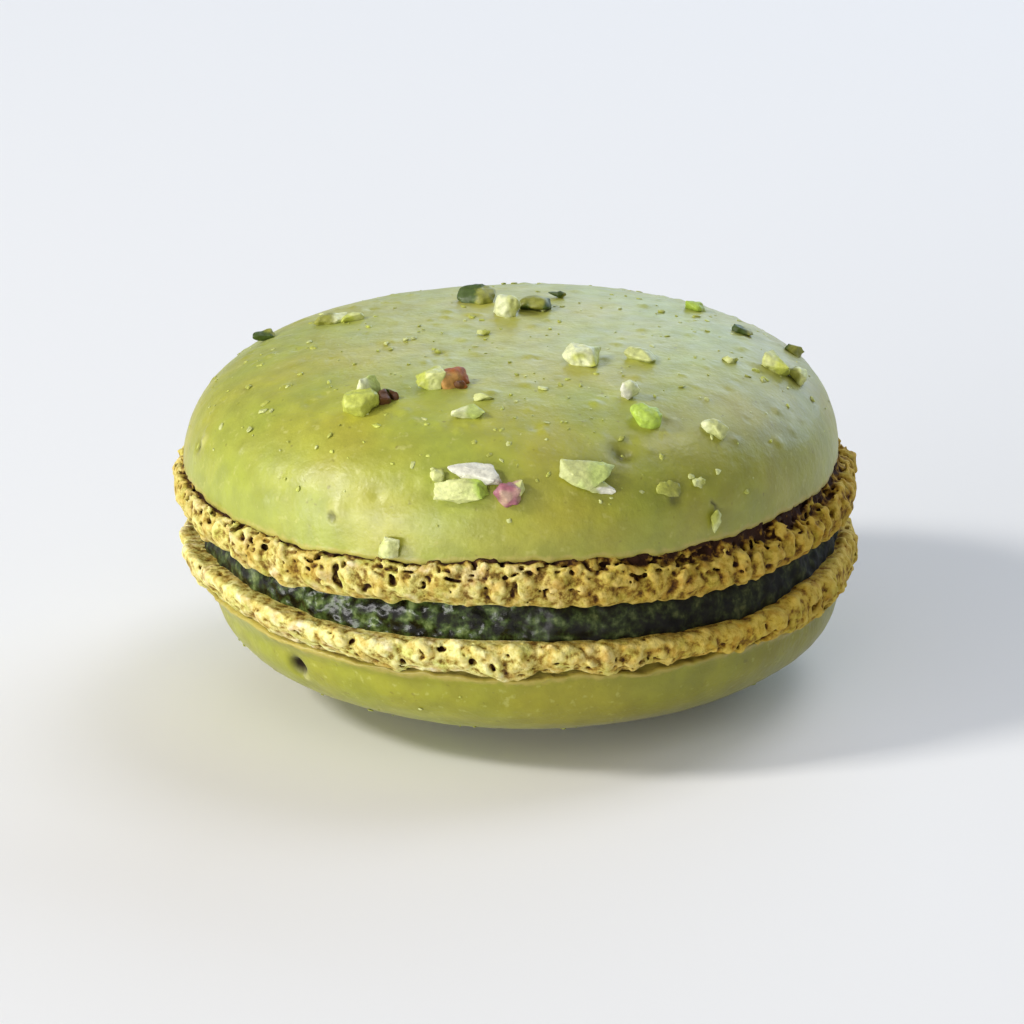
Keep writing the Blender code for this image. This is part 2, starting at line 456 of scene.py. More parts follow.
def skin_relief(shell, points, marks):
    """How far the skin stands out from the even dome; painted shade in dents, pale spots and
    painted highlights on bumps.
    """
    relief = 0.09 * noise(points, 7.0, 1) + 0.05 * noise(points, 2.6, 2) - 0.03
    relief += 0.018 * noise(points, 0.9, 3) + 0.010 * noise(points, 0.45, 4)
    dent_shade = np.zeros(len(points))
    light = np.zeros(len(points))
    for centre, wide, rise, darkness, lightness in marks:
        near = np.abs(points - centre).max(axis=1) < 2.5 * wide
        away = np.linalg.norm(points[near] - centre, axis=1) / wide
        bell = np.exp(-2 * away**2)
        relief[near] += rise * bell
        spot = np.minimum(2.6 * bell, 1)
        dent_shade[near] = np.maximum(dent_shade[near], darkness * spot)
        light[near] = np.maximum(light[near], lightness * spot)
    if shell.flat_cut:
        relief *= 1 - smooth_step(points[:, 2], shell.crown - 0.5, shell.crown - 0.1)
    return relief, dent_shade, light


def build_dome(shell, material):
    """The skin of a dome, turned in at its rim, over the solid inside of the shell."""
    marks = skin_marks(shell)
    rings = []
    points = []
    looks = {"rim": [], "dent_shade": [], "light": [], "toast_and_shade": []}

    def add_ring(new_points, rim=1.0, dent_shade=0.0, light=0.0):
        start = sum(len(ring) for ring in rings)
        rings.append(list(range(start, start + len(new_points))))
        points.append(new_points)
        for key, value in (("rim", rim), ("dent_shade", dent_shade), ("light", light)):
            looks[key].append(np.zeros(len(new_points)) + value)
        turned = np.arctan2(new_points[:, 1], new_points[:, 0])
        out = np.hypot(new_points[:, 0], new_points[:, 1]) / shell.dome_radius
        # Near the rim, painted shade on the side away from the key light, together with browner
        # baking.
        looks["toast_and_shade"].append(around(shell.toast_and_shade_stops, turned) * smooth_step(out, 0.55, 0.95))

    def columns_at(radius):
        halvings = 0
        while radius * 2 ** (halvings + 1) < SKIN_SPREAD and halvings < SKIN_HALVINGS:
            halvings += 1
        return SKIN_COLUMNS // 2**halvings

    def add_skin(columns, turns_of, share):
        """A row of the skin; share runs from 0 to 1 down the skirt, below the profile."""
        angle = np.arange(columns) * FULL / columns
        turns = turns_of(angle)
        ring = dome_points(shell, angle, turns)
        normal = dome_normals(shell, angle, turns)
        edge = skin_edge(shell, angle)
        if shell.skirts:
            flare = around(shell.skirts, angle)[:, None] * share**1.4 / shell.dome_radius
            ring[:, :2] += (ring[:, :2] - (shell.rim_centre, 0)) * flare
        ring[:, 2] += share * np.minimum(edge - shell.rim_height, 0)
        relief, dent_shade, light = skin_relief(shell, ring, marks)
        above = ring[:, 2] - edge
        ring += normal * relief[:, None]
        rough = 1 - smooth_step(above, 0, 0.8)
        crumb = 0.06 * noise(ring, 0.5, 7) + 0.05 * noise(ring, 1.1, 8)
        ring += normal * (rough * crumb)[:, None]
        ring[:, 2] += rough * (0.13 * noise(ring, 1.3, 5) + 0.12 * noise(ring, 0.5, 6))
        add_ring(ring, 1 - smooth_step(above, 0, SKIN_FADE), dent_shade, light)

    rows = even_turns(shell)
    for turns_of in rows:
        across = math.cos(turns_of(0.0)) ** (2 / shell.plan_power)
        add_skin(columns_at(shell.dome_radius * across), turns_of, 0.0)
    if shell.skirts:
        for share in (0.25, 0.5, 0.75, 1.0):
            add_skin(SKIN_COLUMNS, rows[-1], share)

    edge = points[-1]
    around_rim = (edge[:, :2] - (shell.rim_centre, 0)) / shell.dome_radius
    for inset, drop in ((0.08, 0.10), (0.25, 0.17), (0.5, 0.15)):
        curl = edge.copy()
        curl[:, :2] -= around_rim * inset
        curl[:, 2] -= drop
        add_ring(curl)
    for inset, height in ((0.75, edge[:, 2].min() - 0.3), (0.75, shell.face_height)):
        wall = edge.copy()
        wall[:, :2] = around_rim / np.linalg.norm(around_rim, axis=1)[:, None]
        wall[:, :2] *= shell.dome_radius - inset
        wall[:, 0] += shell.rim_centre
        wall[:, 2] = height
        add_ring(wall)
    inner = points[-1]
    for halvings in range(1, SKIN_HALVINGS + 1):
        ring = inner[:: 2**halvings].copy()
        ring[:, :2] *= 0.6**halvings
        add_ring(ring)

    values = {key: np.concatenate(parts) for key, parts in looks.items()}
    points = np.concatenate(points)
    return make_piece(shell.name + "_dome", points, join_rings(rings), material, values, shell.up)


# Feet

class FootField:
    """The space round a foot, below zero where there is crumb.

    The grid's axes are the radius, the angle and the height.
    """

    def __init__(self, shell):
        self.shell = shell
        self.low = min(height for _, height in shell.lips) - 0.7
        high = max(height for _, height in shell.edges) + 0.9
        self.radii = np.arange(FOOT_CORE, FOOT_REACH, CELL, dtype=np.float32)
        self.angles = np.arange(FOOT_COLUMNS, dtype=np.float32) * FULL / FOOT_COLUMNS
        self.heights = np.arange(self.low, high, CELL, dtype=np.float32)
        grid = np.meshgrid(self.radii, self.angles, self.heights, indexing="ij")
        self.radius, self.angle, self.height = grid
        self.points = round_axis(self.radius, self.angle, self.height).reshape(-1, 3)
        columns = (1, FOOT_COLUMNS, 1)
        self.edge = skin_edge(shell, self.angles).astype(np.float32).reshape(columns)
        self.top = foot_top(shell, self.angles).astype(np.float32).reshape(columns)
        self.lip = around(shell.lips, self.angles).astype(np.float32).reshape(columns)
        middle = (self.top + self.lip) / 2
        self.lean = np.clip((self.height - middle) / (self.top - middle), -1, 1)
        self.lean *= around(shell.leans, self.angles).astype(np.float32).reshape(columns)
        self.warps = [self.grid_noise(0.6, seed) for seed in (31, 32, 33)]
        self.value = self.body()

    def grid_noise(self, size, seed):
        return noise(self.points, size, seed).reshape(self.radius.shape)

    def roll(self, face, bottom, top, rounding):
        """A ring with this outer radius and rounded corners."""
        out = self.radius - self.lean - (face - rounding)
        side = np.abs(self.height - (top + bottom) / 2) - ((top - bottom) / 2 - rounding)
        outside = np.hypot(np.maximum(out, 0), np.maximum(side, 0))
        return outside + np.minimum(np.maximum(out, side), 0) - rounding

    def body(self):
        """The even roll that carries the lobes, and the crumb behind the crevice above it."""
        shell = self.shell
        face = shell.foot_radius - shell.valley
        roll = self.roll(face, self.lip + 0.1, self.top - 0.1, shell.rounding)
        depth = around(shell.grooves, self.angles).reshape(1, FOOT_COLUMNS, 1)
        beside = np.abs(self.radius - self.lean - shell.dome_radius - 0.1) - 0.3
        groove = np.maximum(beside, self.edge - depth - self.height)
        behind = self.roll(shell.dome_radius - 0.3, self.lip + 0.4, self.edge + 0.1, 0.1)
        return np.minimum(np.maximum(roll, -groove), behind)

    def stamp(self, azimuth, radius, height, wide, deep, tall, soft, wobble, carve=False):
        """Add an uneven ellipsoid of these half sizes, or carve it away."""
        margin = 0.45
        column = int(round(azimuth / FULL * FOOT_COLUMNS))
        reach = int((wide + margin) / FOOT_MIDDLE / FULL * FOOT_COLUMNS) + 1
        offsets = np.arange(-reach, reach + 1)
        columns = (column + offsets) % FOOT_COLUMNS
        i0, i1 = np.searchsorted(self.radii, (radius - deep - margin, radius + deep + margin))
        k0, k1 = np.searchsorted(self.heights, (height - tall - margin, height + tall + margin))
        block = np.ix_(np.arange(i0, i1), columns, np.arange(k0, k1))
        across = (offsets * FULL / FOOT_COLUMNS * FOOT_MIDDLE)[None, :, None]
        u = self.radius[block] - self.lean[block] - radius + wobble * self.warps[0][block]
        v = across + wobble * self.warps[1][block]
        w = self.height[block] - height + wobble * self.warps[2][block]
        scaled = np.sqrt((u / deep) ** 2 + (v / wide) ** 2 + (w / tall) ** 2) + 1e-6
        steep = np.sqrt((u / deep**2) ** 2 + (v / wide**2) ** 2 + (w / tall**2) ** 2) + 1e-6
        distance = scaled * (scaled - 1) / steep
        sign = -1 if carve else 1
        self.value[block] = sign * smooth_min(sign * self.value[block], distance, soft)

    def ends(self, azimuth):
        """Heights at which the foot starts and its roll ends."""
        return float(around(self.shell.lips, azimuth)), float(foot_top(self.shell, azimuth))

    def reach_at(self, azimuth, height):
        """Radius of the surface there, leaving out the lean."""
        column = int(round(azimuth / FULL * FOOT_COLUMNS)) % FOOT_COLUMNS
        level = int(np.clip((height - self.low) / CELL, 0, len(self.heights) - 1))
        solid = np.nonzero(self.value[:, column, level] < 0)[0]
        if len(solid) == 0:
            return FOOT_CORE
        return self.radii[solid[-1]] - self.lean[solid[-1], column, level]


def add_lobes(foot, rng):
    """The row of full lobes round the foot, and small lumps on them."""
    shell = foot.shell
    widths = [rng.uniform(*shell.lobe_widths) for _ in range(shell.lobes)]
    spread = FULL / sum(widths)
    azimuth = 0.0
    for width in widths:
        half_width = width * spread * FOOT_MIDDLE / 2
        azimuth += width * spread / 2
        lip, top = foot.ends(azimuth)
        half = (top - lip) / 2
        crest = shell.foot_radius + rng.uniform(-0.25, 0.05)
        deep = rng.uniform(0.8, 1.1)
        height = lip + half * rng.uniform(0.85, 1.0)
        tall = half * rng.uniform(0.8, 0.95)
        wide = half_width * rng.uniform(1.15, 1.5)
        foot.stamp(azimuth, crest - deep, height, wide, deep, tall, soft=0.2, wobble=0.2)
        azimuth += width * spread / 2
    for _ in range(LUMPS):
        azimuth = rng.uniform(0, FULL)
        low, top = foot.ends(azimuth)
        low += 0.25
        height = low + rng.uniform(0, top - 0.25 - low)
        size = rng.uniform(0.2, 0.42)
        radius = foot.reach_at(azimuth, height) - size * rng.uniform(0.6, 0.9)
        foot.stamp(azimuth, radius, height, size * rng.uniform(0.9, 1.6), size,
                   size * rng.uniform(0.8, 1.3), soft=0.12, wobble=0.15)


def carve_pores(foot, torn):
    """Irregular pores, crowded where the crumb is torn."""
    pores = foot.grid_noise(0.6, 14) + 0.7 * foot.grid_noise(0.3, 15)
    closed = 0.25 * (0.95 - 0.45 * torn - pores)
    closed += 2 * np.maximum(-foot.value - 0.5, 0)
    foot.value = -smooth_min(-foot.value, closed, 0.06)


def carve_holes(foot, rng):
    """The larger hollows, torn cracks under the skin's edge, and bubbles."""
    shell = foot.shell
    for degrees, height, wide, tall, deep in shell.hollows:
        azimuth = math.radians(degrees)
        radius = foot.reach_at(azimuth, height) - 0.1 * deep
        foot.stamp(azimuth, radius, height, wide / 2, 0.7 * deep, tall / 2, soft=0.1,
                   wobble=0.42, carve=True)
    for _ in range(int(CRACKS * (0.25 + shell.crumbly))):
        azimuth = rng.uniform(0, FULL)
        height = foot.ends(azimuth)[1] - 0.05 - 0.7 * rng.uniform(0, 1) ** 1.5
        radius = foot.reach_at(azimuth, height) - 0.05
        foot.stamp(azimuth, radius, height, rng.uniform(0.15, 0.45), rng.uniform(0.25, 0.55),
                   rng.uniform(0.1, 0.22), soft=0.08, wobble=0.35, carve=True)
    for _ in range(int(BUBBLES * (0.3 + shell.crumbly))):
        azimuth = rng.uniform(0, FULL)
        share = rng.uniform(0, 1) ** (1 / (1 + 1.5 * shell.crumbly))
        low, top = foot.ends(azimuth)
        low += 0.2
        height = low + share * (top - low)
        size = 0.08 + 0.2 * rng.uniform(0, 1) ** 2
        radius = foot.reach_at(azimuth, height) - size * rng.uniform(0.0, 0.3)
        foot.stamp(azimuth, radius, height, size * rng.uniform(0.9, 1.6), size * 1.1,
                   size * rng.uniform(0.8, 1.2), soft=0.06, wobble=0.25, carve=True)


def grow(seed, allowed):
    """Everything in allowed that can be reached from seed; the angle's axis is closed."""
    reached = seed & allowed
    while True:
        wider = reached.copy()
        wider[1:] |= reached[:-1]
        wider[:-1] |= reached[1:]
        wider |= np.roll(reached, 1, 1) | np.roll(reached, -1, 1)
        wider[:, :, 1:] |= reached[:, :, :-1]
        wider[:, :, :-1] |= reached[:, :, 1:]
        wider &= allowed
        if (wider == reached).all():
            return reached
        reached = wider


def drop_loose_parts(value):
    """Fill sealed bubbles and remove crumb that hangs in the air."""
    inner, outer = np.zeros((2, *value.shape), bool)
    inner[0] = True
    outer[-1] = True
    solid = grow(inner, value < 0)
    air = grow(outer, ~solid)
    value[air & (value < 0)] = 0.01
    value[~air & (value >= 0)] = -0.01


def box_blur(solid, cells):
    """Share of solid in a cube of this odd number of cells about each point."""
    blurred = solid.astype(np.float32)
    half = cells // 2
    for axis in range(3):
        mode = "wrap" if axis == 1 else "edge"
        pad = [(half + 1, half) if other == axis else (0, 0) for other in range(3)]
        total = np.cumsum(np.pad(blurred, pad, mode=mode), axis=axis, dtype=np.float64)
        count = blurred.shape[axis]
        high = np.take(total, np.arange(cells, cells + count), axis)
        low = np.take(total, np.arange(count), axis)
        blurred = ((high - low) / cells).astype(np.float32)
    return blurred


def read_field(field, places):
    """A field's values between its grid points."""
    low = np.floor(places).astype(int)
    part = places - low
    value = np.zeros(len(places))
    for corner, weight in cell_corners(part):
        at = low + corner
        at[:, 1] %= field.shape[1]
        at[:, 0] = np.minimum(at[:, 0], field.shape[0] - 1)
        at[:, 2] = np.minimum(at[:, 2], field.shape[2] - 1)
        value += weight * field[at[:, 0], at[:, 1], at[:, 2]]
    return value


def relax(points, quads):
    """Ease each vertex halfway towards the mean of its neighbours."""
    first = quads.ravel()
    second = np.roll(quads, -1, axis=1).ravel()
    count = np.bincount(first, minlength=len(points))
    eased = np.empty_like(points)
    for axis in range(3):
        ahead = np.bincount(first, points[second, axis], len(points))
        behind = np.bincount(second, points[first, axis], len(points))
        eased[:, axis] = (ahead + behind) / (2 * count)
    return 0.5 * (points + eased)


def net_surface(value):
    """Surface net of a field: vertices in grid steps, and quads that face outwards."""
    inside = value < 0
    shape = (value.shape[0] - 1, value.shape[1], value.shape[2] - 1)
    corners = list(itertools.product((0, 1), repeat=3))
    shifted = {}
    for i, j, k in corners:
        turned = np.roll(value, -j, axis=1)
        shifted[i, j, k] = turned[i : shape[0] + i, :, k : shape[2] + k]
    below = sum((shifted[corner] < 0).astype(int) for corner in corners)
    active = (below > 0) & (below < 8)
    at_corner = {corner: shifted[corner][active] for corner in corners}
    total = np.zeros((active.sum(), 3))
    hits = np.zeros(active.sum())
    for first in corners:
        for axis in range(3):
            if first[axis]:
                continue
            second = tuple(1 if other == axis else first[other] for other in range(3))
            a, b = at_corner[first], at_corner[second]
            crossed = (a < 0) != (b < 0)
            share = np.where(crossed, a / np.where(crossed, a - b, 1), 0)
            point = np.tile(np.array(first, dtype=float), (len(a), 1))
            point[:, axis] = share
            total += point * crossed[:, None]
            hits += crossed
    places = np.argwhere(active) + total / hits[:, None]

    number = np.full(shape, -1)
    number[active] = np.arange(active.sum())
    quads = []
    for axis in range(3):
        changed = inside != np.roll(inside, -1, axis)
        changed[-1 if axis == 0 else 0] = False
        edges = np.argwhere(changed)
        b, c = (axis + 1) % 3, (axis + 2) % 3
        loop = []
        for back_b, back_c in ((1, 1), (0, 1), (0, 0), (1, 0)):
            cell = edges.copy()
            cell[:, b] -= back_b
            cell[:, c] -= back_c
            cell[:, 1] %= shape[1]
            loop.append(number[cell[:, 0], cell[:, 1], cell[:, 2]])
        quad = np.stack(loop, axis=1)
        outward = inside[edges[:, 0], edges[:, 1], edges[:, 2]]
        quads.append(np.where(outward[:, None], quad, quad[:, ::-1]))
    return places, np.concatenate(quads), number


def build_foot(shell, material):
    """The ruffled foot as a closed ring whose inner wall lies inside the shell."""
    rng = random.Random(shell.seed)
    foot = FootField(shell)
    core = foot.body()[:CORE_LAYERS].copy()
    add_lobes(foot, rng)
    torn = shell.crumbly * smooth_step(foot.height, foot.top - 1.5, foot.top - 0.1)
    coarse = 0.6 + 0.4 * shell.crumbly
    foot.value += coarse * (0.10 * foot.grid_noise(0.9, 7) + 0.06 * foot.grid_noise(0.45, 8))
    foot.value += (0.045 * coarse + 0.06 * torn) * foot.grid_noise(0.27, 9)
    foot.value += 0.12 * torn * foot.grid_noise(0.55, 10)
    carve_pores(foot, torn)
    carve_holes(foot, rng)
    foot.value[:CORE_LAYERS] = core
    drop_loose_parts(foot.value)

    places, quads, number = net_surface(foot.value)
    columns = np.arange(FOOT_COLUMNS)
    active = number[0] >= 0
    low = number[0][columns, active.argmax(axis=1)]
    high = number[0][columns, active.shape[1] - 1 - active[:, ::-1].argmax(axis=1)]
    wall = np.stack([high, np.roll(high, -1), np.roll(low, -1), low], axis=1)
    quads = np.concatenate([quads, wall])

    # Painted shade: how enclosed each point of the crumb is, plus a painted shadow under the
    # skin's edge where the foot parts from it; the material darkens hollows and pits by this.
    solid = foot.value < 0
    solid |= (foot.height > foot.edge - 0.1) & (foot.radius < shell.dome_radius)
    near = box_blur(box_blur(solid, 3), 3)
    wide = box_blur(box_blur(solid, 7), 7)
    parted = smooth_step(foot.edge - foot.top, 0.3, 0.6)
    crevice_shade = 0.24 * parted * smooth_step(foot.height - foot.top, -0.2, 0.3)
    crevice_shade *= foot.radius < shell.dome_radius + 0.5
    hollow_shade = read_field(0.5 * near + 0.5 * wide + crevice_shade, places)

    radius = FOOT_CORE + places[:, 0] * CELL
    angle = places[:, 1] * FULL / FOOT_COLUMNS
    height = foot.low + places[:, 2] * CELL
    lip = around(shell.lips, angle)
    share = np.clip((height - lip) / (skin_edge(shell, angle) - lip), 0, 1)
    centre = shell.foot_centre + (shell.rim_centre - shell.foot_centre) * share
    radius = radius * plan_scale(shell, angle)
    points = relax(round_axis(radius, angle, height, centre), quads)
    values = {"hollow_shade": hollow_shade, "toast_and_shade": around(shell.toast_and_shade_stops, angle)}
    return make_piece(shell.name + "_foot", points, quads.tolist(), material, values, shell.up)


# Cream

def build_cream(material):
    """The cream's uneven, wet side between two hidden flat faces."""
    angle = np.arange(CREAM_COLUMNS) * FULL / CREAM_COLUMNS
    top = around(TOP.lips, angle) + CREAM_HIDDEN
    bottom = -around(BOTTOM.lips, angle) - CREAM_HIDDEN
    rings = []
    points = []
    for row in range(CREAM_ROWS + 1):
        share = row / CREAM_ROWS
        even = round_axis(CREAM_RADIUS, angle, top + (bottom - top) * share)
        wave = 0.10 * np.sin(5 * angle + 1.0) + 0.08 * np.sin(11 * angle + 4.0)
        swell = (0.35 + wave) * math.sin(share * math.pi) ** 0.6 + 0.55 * share
        lumps = 0.20 * noise(even, 1.8, 11) + 0.15 * noise(even, 0.9, 12)
        lumps += 0.09 * noise(even, 0.42, 13)
        radius = CREAM_RADIUS + swell + lumps
        rings.append(list(range(row * CREAM_COLUMNS, (row + 1) * CREAM_COLUMNS)))
        points.append(round_axis(radius, angle, even[:, 2], CREAM_CENTRE))
    points = np.concatenate(points)
    values = {"wet_and_lit": around(CREAM_WET_AND_LIT, np.arctan2(points[:, 1], points[:, 0]))}
    return make_piece("cream_layer", points, join_rings(rings), material, values)


# Chopped pistachios

PALE = (0.64, 0.68, 0.26)
CREAMY = (0.74, 0.78, 0.44)
MILKY = (0.78, 0.77, 0.64)
LEAF = (0.44, 0.60, 0.08)
YELLOW_GREEN = (0.53, 0.58, 0.10)
SOFT_GREEN = (0.50, 0.60, 0.17)
SKIN_GREEN = (0.44, 0.47, 0.08)
DARK_GREEN = (0.06, 0.10, 0.015)
OLIVE = (0.30, 0.31, 0.05)
GREY_GREEN = (0.54, 0.58, 0.22)
ROSE = (0.36, 0.13, 0.16)
DUSTY_ROSE = (0.58, 0.38, 0.28)
RUST = (0.42, 0.13, 0.035)
AMBER = (0.56, 0.30, 0.08)
BROWN = (0.12, 0.045, 0.012)


LUMP_CORNERS = 16
HALVING_STEPS = 40  # of the search for a place on the dome


@dataclass
class Chunk:
    """A piece of nut on the upper dome, by its place from above or from the front."""

    x: float
    y: float
    sizes: tuple  # length, width and thickness
    turn: float  # of its length from the X axis, in degrees
    tone: tuple
    second: tuple  # its other colour, in patches towards the far end
    height: float = None  # above the resting plane, in place of y for a piece on the front
    taper: float = 0.0  # how much narrower it is at its far end
    boxy: float = 0.4  # 0 for a round lump, 1 for a block


CHUNKS = (
    Chunk(-17.0, 5.5, (1.7, 1.2, 0.9), 20, DARK_GREEN, OLIVE),
    Chunk(-12.5, 5.5, (2.6, 1.6, 0.8), 8, OLIVE, CREAMY),
    Chunk(-11.0, 5.0, (1.6, 1.3, 0.6), -20, YELLOW_GREEN, PALE),
    Chunk(-10.0, -12.5, (2.7, 2.1, 1.9), 4, YELLOW_GREEN, YELLOW_GREEN),
    Chunk(-9.5, -11.5, (1.9, 1.3, 2.5), 25, CREAMY, SOFT_GREEN, taper=0.5),
    Chunk(-8.5, -12.0, (1.1, 1.3, 1.2), 35, BROWN, BROWN),
    Chunk(-8.0, -11.5, (1.0, 0.8, 1.0), -15, DARK_GREEN, BROWN),
    Chunk(-5.5, -10.0, (2.1, 1.8, 1.6), 4, YELLOW_GREEN, PALE, boxy=0.7),
    Chunk(-4.0, -10.0, (2.0, 1.9, 1.4), 60, AMBER, RUST, boxy=0.9),
    Chunk(-3.5, -10.5, (0.9, 0.8, 0.8), 10, BROWN, RUST),
    Chunk(-3.0, -14.5, (2.2, 1.4, 1.1), 2, CREAMY, SOFT_GREEN, boxy=0.7),
    Chunk(-2.0, -12.5, (1.4, 0.9, 0.5), 20, PALE, OLIVE),
    Chunk(-2.5, 8.5, (2.8, 2.4, 1.5), -8, DARK_GREEN, OLIVE),
    Chunk(-0.5, 5.0, (2.1, 2.2, 1.7), 2, CREAMY, PALE, boxy=0.8),
    Chunk(1.5, 6.0, (2.4, 2.0, 1.1), -35, OLIVE, DARK_GREEN),
    Chunk(3.0, 9.0, (1.2, 0.9, 0.7), 10, DARK_GREEN, OLIVE),
    Chunk(4.5, -6.0, (2.5, 2.0, 1.5), -10, CREAMY, YELLOW_GREEN, taper=-0.3),
    Chunk(8.5, -5.0, (2.2, 1.7, 1.0), -20, PALE, GREY_GREEN),
    Chunk(7.5, -11.5, (1.4, 1.4, 1.6), 10, MILKY, CREAMY),
    Chunk(8.5, -14.5, (2.1, 1.7, 1.4), 2, LEAF, LEAF, boxy=0.8),
    Chunk(13.0, -13.5, (1.8, 1.2, 1.1), -35, CREAMY, GREY_GREEN),
    Chunk(4.5, None, (3.6, 2.4, 1.2), -6, GREY_GREEN, SOFT_GREEN, height=20.4, taper=0.15,
          boxy=0.2),
    Chunk(5.5, None, (2.2, 1.2, 0.8), -16, GREY_GREEN, MILKY, height=19.8, taper=0.5),
    Chunk(-2.5, None, (3.6, 2.8, 1.3), -30, MILKY, MILKY, height=20.8, taper=0.6, boxy=0.7),
    Chunk(-3.5, None, (3.7, 1.5, 1.3), 2, PALE, LEAF, height=19.8, boxy=0.6),
    Chunk(-5.0, None, (0.9, 1.0, 0.8), 0, PALE, OLIVE, height=20.6),
    Chunk(-0.5, None, (1.9, 1.6, 1.5), 10, ROSE, DUSTY_ROSE, height=19.6, boxy=0.2),
    Chunk(0.0, None, (1.3, 1.3, 1.3), -20, DUSTY_ROSE, PALE, height=20.0, boxy=0.2),
    Chunk(-8.0, None, (1.5, 1.4, 1.1), -2, PALE, CREAMY, height=16.2, boxy=0.9),
    Chunk(17.5, -2.5, (2.1, 1.7, 1.4), -15, PALE, YELLOW_GREEN),
    Chunk(19.0, -2.5, (1.6, 1.4, 1.1), 25, OLIVE, PALE),
    Chunk(12.5, 8.0, (1.6, 1.2, 0.8), 0, LEAF, SOFT_GREEN),
    Chunk(15.5, 3.5, (1.6, 1.2, 0.6), 0, DARK_GREEN, OLIVE),
    Chunk(19.0, 3.5, (1.4, 1.2, 0.9), 0, DARK_GREEN, OLIVE),
    Chunk(14.5, -3.5, (1.2, 0.9, 0.5), 0, SKIN_GREEN, PALE),
    Chunk(12.0, None, (1.1, 0.9, 0.6), 0, PALE, SKIN_GREEN, height=19.2),
    Chunk(10.0, None, (1.9, 1.1, 0.4), 0, SKIN_GREEN, OLIVE, height=19.2),
    Chunk(13.0, None, (1.0, 1.6, 0.6), -24, SKIN_GREEN, GREY_GREEN, height=16.6),
    Chunk(-2.0, 0.0, (1.0, 0.7, 0.4), 0, PALE, SKIN_GREEN),
)


def place_on_dome(shell, x, y, height):
    """Angle and turn of the dome point above (x, y) or, given a height, at the front."""
    if height is not None:
        turn = turn_at_height(shell, height)
        centre = shell.centre_at(math.sin(turn) ** (2 / shell.rise_power))
        radius = shell.dome_radius * math.cos(turn) ** (2 / shell.plan_power)
        return -math.acos((x - centre) / radius), turn
    low, high = 0.0, math.pi / 2
    angle = math.atan2(y, x)
    for _ in range(HALVING_STEPS):
        turn = (low + high) / 2
        point = dome_points(shell, angle, turn)
        if math.hypot(point[0], point[1]) > math.hypot(x, y):
            low = turn
        else:
            high = turn
    return angle, turn


def chunk_mesh(chunk_sizes, rng, fine, boxy=0.5):
    """Points and triangles of a broken, many-sided lump about the origin."""
    corners = []
    for _ in range(LUMP_CORNERS):
        direction = Vector([rng.gauss(0, 1) for _ in range(3)]).normalized()
        cubed = direction / max(abs(part) for part in direction)
        corners.append(direction.lerp(cubed, boxy) * rng.uniform(1.0, 1.2))
    corners = np.array(corners)
    low, high = corners.min(axis=0), corners.max(axis=0)
    mesh = bmesh.new()
    for corner in ((corners - low) / (high - low) - 0.5) * chunk_sizes:
        mesh.verts.new(corner)
    hull = bmesh.ops.convex_hull(mesh, input=mesh.verts)
    loose = [item for item in hull["geom_interior"] if isinstance(item, bmesh.types.BMVert)]
    bmesh.ops.delete(mesh, geom=loose, context="VERTS")
    bmesh.ops.bevel(mesh, geom=mesh.edges, offset=0.10 * min(chunk_sizes), segments=1,
                    affect="EDGES", clamp_overlap=True)
    bmesh.ops.triangulate(mesh, faces=mesh.faces)
    for _ in range(fine):
        bmesh.ops.subdivide_edges(mesh, edges=mesh.edges, cuts=1)
        bmesh.ops.triangulate(mesh, faces=mesh.faces)
        bmesh.ops.smooth_vert(mesh, verts=mesh.verts, factor=0.5, use_axis_x=True,
                              use_axis_y=True, use_axis_z=True)
    mesh.verts.index_update()
    points = np.array([vertex.co[:] for vertex in mesh.verts])
    faces = [tuple(vertex.index for vertex in face.verts) for face in mesh.faces]
    mesh.free()
    return points, faces


def lay_on_dome(shell, points, angle, turn, spin, out):
    """Turn a lump to lie on the skin at that place, its middle this far out of it."""
    place = dome_points(shell, angle, turn)
    normal = Vector(dome_normals(shell, angle, turn))
    across = Vector((1, 0, 0)) - normal * normal.x
    across.normalize()
    axes = np.array([across, normal.cross(across), normal])
    flat = np.array(Matrix.Rotation(spin, 3, "Z"))
    return place + (points @ flat.T) @ axes + np.array(normal) * out


def join(parts):
    """Points, faces and the tones that the material reads, from many lumps."""
    start = 0
    points, faces, colours = [], [], []
    for part_points, part_faces, part_colours in parts:
        faces += [tuple(index + start for index in face) for face in part_faces]
        start += len(part_points)
        points.append(part_points)
        colours.append(part_colours)
    return np.concatenate(points), faces, {"tone": np.concatenate(colours)}


def build_chunks(shell, material):
    rng = random.Random(71)
    parts = []
    for number, chunk in enumerate(CHUNKS):
        height = None if chunk.height is None else chunk.height - MID_HEIGHT
        angle, turn = place_on_dome(shell, chunk.x, chunk.y, height)
        points, faces = chunk_mesh(chunk.sizes, rng, 2, chunk.boxy)
        apart = points + 5 * number
        grain = 0.12 * noise(apart, 0.7, 41) + 0.08 * noise(apart, 0.3, 43)
        points += grain[:, None] * points / np.linalg.norm(points, axis=1)[:, None]
        along = points[:, 0] / chunk.sizes[0]
        patches = smooth_step(noise(apart, 0.8, 42) + 1.6 * along, -0.15, 0.3)[:, None]
        points[:, 1] *= 1 - chunk.taper * (along + 0.5)
        colours = np.array(chunk.tone) * (1 - patches) + np.array(chunk.second) * patches
        out = 0.25 * chunk.sizes[2]
        points = lay_on_dome(shell, points, angle, turn, math.radians(chunk.turn), out)
        parts.append((points, faces, colours))
    points, faces, tones = join(parts)
    piece = make_piece("chopped_pistachios", points, faces, material, tones)
    piece.data.set_sharp_from_angle(angle=math.radians(38))
    return piece


RESTING_TURN = 0.8  # no crumbs nearer than this to the spot it rests on


